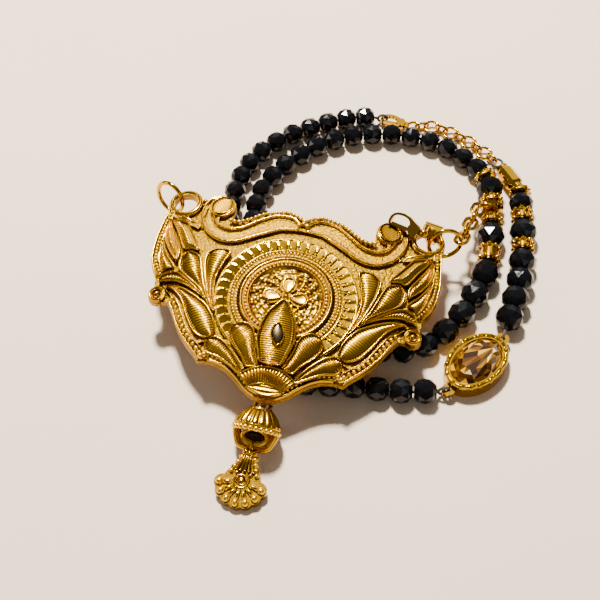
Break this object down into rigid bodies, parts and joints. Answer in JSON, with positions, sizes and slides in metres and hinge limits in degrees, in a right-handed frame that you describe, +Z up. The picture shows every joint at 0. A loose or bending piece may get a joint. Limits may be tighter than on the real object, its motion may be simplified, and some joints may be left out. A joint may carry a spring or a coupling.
{
  "type": "mangalsutra necklace",
  "caption": "Necklace of black faceted beads wound twice, with a domed floral gold pendant plate, small drop, oval stone, chain, extender and two lobster clasps, lying flat.",
  "frame": {"origin": "middle of the necklace's box, on the surface that it lies on", "axes": "+Z up from the surface, +Y away from the viewer to the top of the picture, +X to the right of the picture"},
  "size_m": [0.0784, 0.0972, 0.0135],
  "materials": {
    "antique_gold": "polished high spots over a darker frosted ground",
    "bright_gold": "polished",
    "black_bead": "glossy faceted",
    "amber_stone": "cut and polished",
    "thread": "matt twisted"
  },
  "bodies": {
    "necklace": {"pendant_plate": "antique_gold", "bail_cap": "antique_gold", "flower_drop": "antique_gold", "left_jump_ring": "bright_gold", "right_jump_ring": "bright_gold", "chain_link_1": "bright_gold", "chain_link_2": "bright_gold", "chain_link_3": "bright_gold", "chain_link_4": "bright_gold", "chain_link_5": "bright_gold", "tie_ring": "bright_gold", "pendant_clasp_body": "bright_gold", "back_clasp_body": "bright_gold", "extender_link_1": "bright_gold", "extender_link_2": "bright_gold", "extender_link_3": "bright_gold", "extender_link_4": "bright_gold", "extender_link_5": "bright_gold", "extender_link_6": "bright_gold", "extender_link_7": "bright_gold", "extender_link_8": "bright_gold", "extender_link_9": "bright_gold", "oval_frame": "bright_gold", "oval_stone": "amber_stone", "bar_bead": "bright_gold", "rondelle": "bright_gold", "crown_1": "bright_gold", "crown_2": "bright_gold", "crown_3": "bright_gold", "crown_4": "bright_gold", "crown_5": "bright_gold", "crown_6": "bright_gold", "crown_7": "bright_gold", "black_beads_first": "black_bead", "black_beads_second": "black_bead", "black_beads_third": "black_bead", "thread_long": "thread", "thread_short": "thread"},
    "pendant_lever": {"pendant_clasp_lever": "bright_gold"},
    "back_lever": {"back_clasp_lever": "bright_gold"}
  },
  "joints": [
    {"name": "pendant_lever_hinge", "type": "hinge", "parent": "necklace", "child": "pendant_lever", "pos_m": [0.01258, 0.00619, 0.01155], "axis": [0.3244, 0.5852, -0.7431], "range_deg": [0, 12], "stiffness_Nm_per_rad": 0.005, "springref_deg": -11.46},
    {"name": "back_lever_hinge", "type": "hinge", "parent": "necklace", "child": "back_lever", "pos_m": [0.01271, 0.04516, 0.00137], "axis": [0, 0, -1], "range_deg": [0, 8], "stiffness_Nm_per_rad": 0.005, "springref_deg": -11.46}
  ]
}
